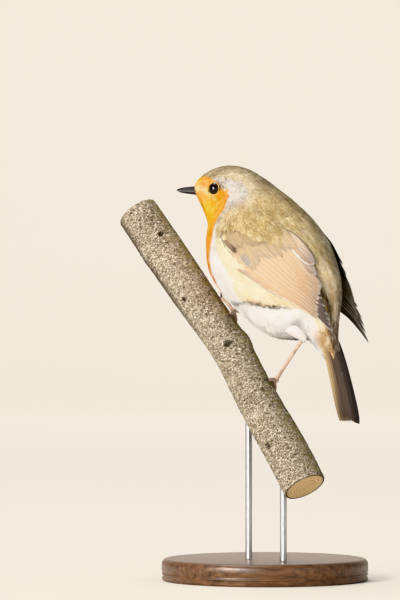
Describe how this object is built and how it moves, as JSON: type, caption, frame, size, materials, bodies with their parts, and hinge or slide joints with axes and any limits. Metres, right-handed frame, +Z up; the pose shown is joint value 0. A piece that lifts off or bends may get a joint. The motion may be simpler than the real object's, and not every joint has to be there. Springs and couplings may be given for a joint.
{
  "type": "european robin",
  "caption": "Life-size still model of a perched european robin gripping a cut length of branch, on a round stand with rods.",
  "frame": {"origin": "centre of the underside of the stand's round base", "axes": "+Z is up. The bird's trunk faces -X and +Y, 142 degrees anticlockwise from +X, and its head is turned 18 degrees further to its left. The branch rises from +X, -Y to -X, +Y."},
  "size_m": [0.1136, 0.0968, 0.1888],
  "materials": {
    "plumage_olive": "matte olive-brown feathers",
    "plumage_orange": "matte orange feathers",
    "plumage_white": "matte white and cream feathers",
    "plumage_buff": "matte buff feathers",
    "flight_feathers": "brown flight feathers with paler edges, a slight sheen",
    "bill_horn": "satin blackish horn",
    "claw_horn": "satin dark horn",
    "eye": "wet, near black",
    "leg_skin": "pinkish-brown scaled skin",
    "branch_bark": "grey-tan bark with dark pores",
    "stand_wood": "dark stained wood, satin lacquer",
    "stand_steel": "brushed"
  },
  "bodies": {
    "root": {"head": "plumage_orange", "neck": "plumage_olive", "trunk_front": "plumage_olive", "trunk_rear": "plumage_white", "rump": "plumage_buff", "bill_upper": "bill_horn", "bill_lower": "bill_horn", "eye_left": "eye", "eye_right": "eye", "tail": "flight_feathers", "wing_coverts_left": "plumage_olive", "wing_tertials_left": "flight_feathers", "wing_secondaries_left": "flight_feathers", "wing_primaries_left": "flight_feathers", "wing_coverts_right": "plumage_olive", "wing_tertials_right": "flight_feathers", "wing_secondaries_right": "flight_feathers", "wing_primaries_right": "flight_feathers", "thigh_left": "plumage_white", "shank_left": "leg_skin", "inner_toe_left": "leg_skin", "inner_toe_claw_left": "claw_horn", "middle_toe_left": "leg_skin", "middle_toe_claw_left": "claw_horn", "outer_toe_left": "leg_skin", "outer_toe_claw_left": "claw_horn", "hind_toe_left": "leg_skin", "hind_toe_claw_left": "claw_horn", "thigh_right": "plumage_white", "shank_right": "leg_skin", "inner_toe_right": "leg_skin", "inner_toe_claw_right": "claw_horn", "middle_toe_right": "leg_skin", "middle_toe_claw_right": "claw_horn", "outer_toe_right": "leg_skin", "outer_toe_claw_right": "claw_horn", "hind_toe_right": "leg_skin", "hind_toe_claw_right": "claw_horn", "perch": "branch_bark", "stand_base": "stand_wood", "stand_rod_low": "stand_steel", "stand_rod_high": "stand_steel"}
  },
  "joints": []
}
